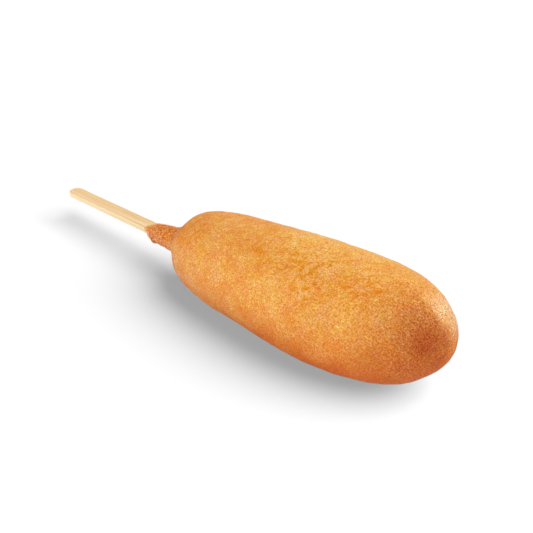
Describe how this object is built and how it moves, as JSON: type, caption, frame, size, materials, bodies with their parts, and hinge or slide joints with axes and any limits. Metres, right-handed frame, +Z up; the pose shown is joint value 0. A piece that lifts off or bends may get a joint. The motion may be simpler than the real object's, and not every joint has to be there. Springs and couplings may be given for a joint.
{
  "type": "corn dog",
  "caption": "Battered and fried sausage on a flat wooden stick, lying on its side: a blunt golden-brown barrel with a slightly darker collar of batter at the stick.",
  "frame": {"origin": "under the middle of the whole corn dog's box, on the surface that it lies on", "axes": "+X from the stick's bare end to the tip of the food, +Z up"},
  "size_m": [0.1789, 0.0402, 0.0398],
  "materials": {
    "fried_batter": "golden-brown fried cornmeal batter with a fine grain and a faint oily sheen",
    "bare_wood": "smooth bare birch"
  },
  "bodies": {
    "root": {"battered_food": "fried_batter", "stick": "bare_wood"}
  },
  "joints": []
}
